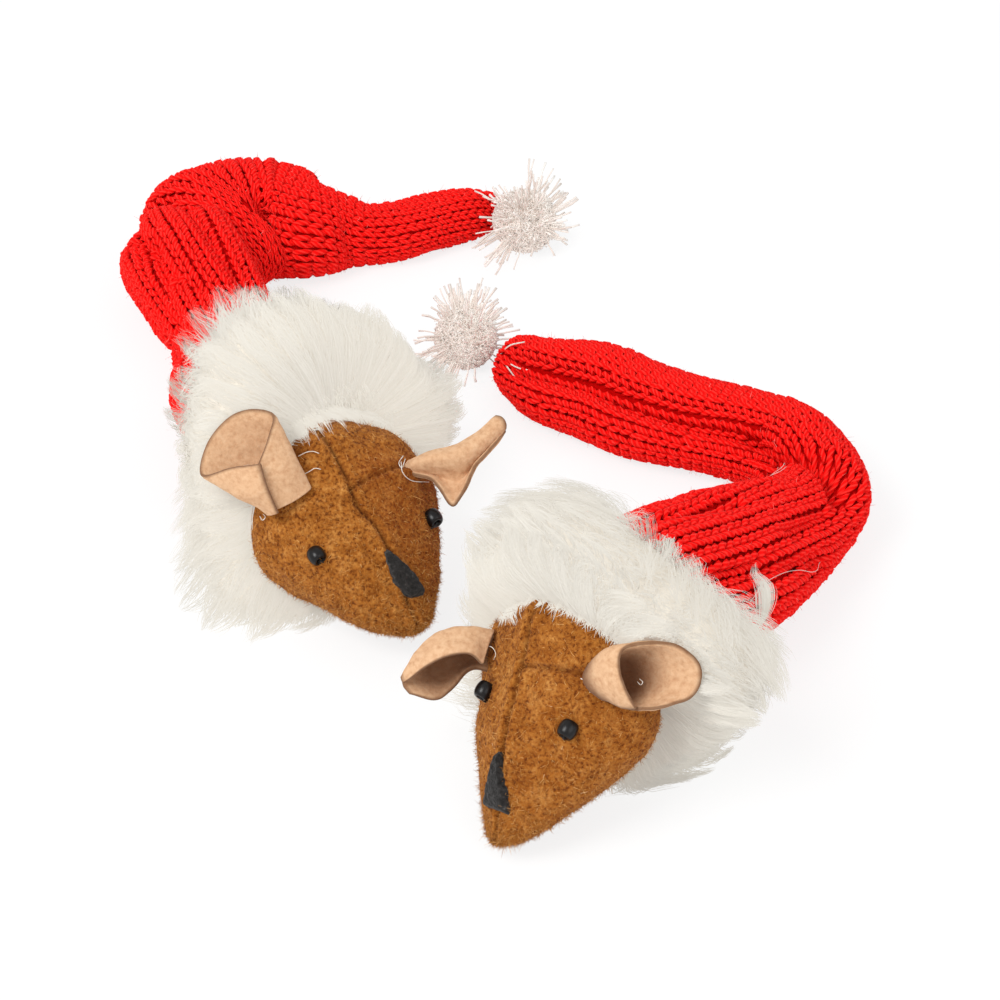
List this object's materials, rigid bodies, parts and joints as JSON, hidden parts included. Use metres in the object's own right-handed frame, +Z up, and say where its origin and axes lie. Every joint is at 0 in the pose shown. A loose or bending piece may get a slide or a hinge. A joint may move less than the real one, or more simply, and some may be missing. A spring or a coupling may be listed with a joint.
{
  "type": "mouse cat toy",
  "caption": "Pair of stuffed mouse heads for a cat, with suede ears, bead eyes, a fur ruff and a long knitted hat that ends in a pompom.",
  "frame": {"origin": "middle of the pair's bounding box, on the ground that both lie on", "axes": "+Z up, +Y from the heads towards the hats' arches, +X to the right seen from the heads' side; the pair is longest along Y and lowest along Z"},
  "size_m": [0.1538, 0.2008, 0.0527],
  "materials": {
    "felt": "boiled wool felt, matt",
    "stuffing": "loose fibre",
    "bead": "glossy",
    "thread": "twisted thread",
    "black_thread": "twisted thread",
    "nose_felt": "felt, matt",
    "suede": "suede, matt",
    "fur": "long pile",
    "backing": "woven",
    "knit": "knitted yarn",
    "pompom": "shiny yarn strands"
  },
  "bodies": {
    "mouse_one_body": {"mouse_one_eye_bead_right": "bead", "mouse_one_eye_thread_right": "black_thread", "mouse_one_eye_bead_left": "bead", "mouse_one_eye_thread_left": "black_thread", "mouse_one_head_panel_right": "felt", "mouse_one_head_panel_left": "felt", "mouse_one_head_back_panel": "felt", "mouse_one_head_stuffing": "stuffing", "mouse_one_nose_patch": "nose_felt", "mouse_one_ear_stitch_right": "thread", "mouse_one_ear_stitch_left": "thread", "mouse_one_ruff_backing": "backing", "mouse_one_hat_crown": "knit", "mouse_one_ruff_pile": "fur"},
    "mouse_one_right_ear": {"mouse_one_ear_right": "suede"},
    "mouse_one_left_ear": {"mouse_one_ear_left": "suede"},
    "mouse_one_tail": {"mouse_one_hat_tail": "knit", "mouse_one_tip_tie": "thread"},
    "mouse_one_pompom_end": {"mouse_one_pompom": "pompom"},
    "mouse_two_body": {"mouse_two_eye_bead_right": "bead", "mouse_two_eye_thread_right": "black_thread", "mouse_two_eye_bead_left": "bead", "mouse_two_eye_thread_left": "black_thread", "mouse_two_head_panel_right": "felt", "mouse_two_head_panel_left": "felt", "mouse_two_head_back_panel": "felt", "mouse_two_head_stuffing": "stuffing", "mouse_two_nose_patch": "nose_felt", "mouse_two_ear_stitch_right": "thread", "mouse_two_ear_stitch_left": "thread", "mouse_two_ruff_backing": "backing", "mouse_two_hat_crown": "knit", "mouse_two_ruff_pile": "fur"},
    "mouse_two_right_ear": {"mouse_two_ear_right": "suede"},
    "mouse_two_left_ear": {"mouse_two_ear_left": "suede"},
    "mouse_two_tail": {"mouse_two_hat_tail": "knit", "mouse_two_tip_tie": "thread"},
    "mouse_two_pompom_end": {"mouse_two_pompom": "pompom"}
  },
  "joints": [
    {"name": "mouse_one_ear_right_flex", "type": "hinge", "parent": "mouse_one_body", "child": "mouse_one_right_ear", "pos_m": [-0.03477, -0.0373, 0.02748], "axis": [-0.7447, -0.4503, -0.4926], "range_deg": [-12, 12], "stiffness_Nm_per_rad": 0.002},
    {"name": "mouse_one_ear_left_flex", "type": "hinge", "parent": "mouse_one_body", "child": "mouse_one_left_ear", "pos_m": [-0.01166, -0.02451, 0.02629], "axis": [0.2625, -0.2458, 0.9331], "range_deg": [-12, 12], "stiffness_Nm_per_rad": 0.002},
    {"name": "mouse_one_hat_tail_lift", "type": "hinge", "parent": "mouse_one_body", "child": "mouse_one_tail", "pos_m": [-0.02587, 0.08235, 0.0055], "axis": [0.2169, -0.9762, 0], "range_deg": [0, 50]},
    {"name": "mouse_one_pompom_swing", "type": "hinge", "parent": "mouse_one_tail", "child": "mouse_one_pompom_end", "pos_m": [0.00446, 0.08638, 0.0052], "axis": [0, 0, 1], "range_deg": [-20, 20], "stiffness_Nm_per_rad": 0.0005},
    {"name": "mouse_two_ear_right_flex", "type": "hinge", "parent": "mouse_two_body", "child": "mouse_two_right_ear", "pos_m": [0.00149, -0.07373, 0.02279], "axis": [-0.5197, -0.8512, 0.0727], "range_deg": [-12, 12], "stiffness_Nm_per_rad": 0.002},
    {"name": "mouse_two_ear_left_flex", "type": "hinge", "parent": "mouse_two_body", "child": "mouse_two_left_ear", "pos_m": [0.01819, -0.08742, 0.03252], "axis": [-0.0009, -0.6687, -0.7436], "range_deg": [-12, 12], "stiffness_Nm_per_rad": 0.002},
    {"name": "mouse_two_hat_tail_lift", "type": "hinge", "parent": "mouse_two_body", "child": "mouse_two_tail", "pos_m": [0.03276, 0.01668, 0.007], "axis": [0.5511, 0.8345, 0], "range_deg": [0, 50]},
    {"name": "mouse_two_pompom_swing", "type": "hinge", "parent": "mouse_two_tail", "child": "mouse_two_pompom_end", "pos_m": [0.00304, 0.03677, 0.0052], "axis": [0, 0, 1], "range_deg": [-20, 20], "stiffness_Nm_per_rad": 0.0005},
    {"name": "mouse_two_lift", "type": "slide", "parent": "mouse_one_body", "child": "mouse_two_body", "axis": [0, 0, 1], "range_m": [0, 0.08]}
  ]
}
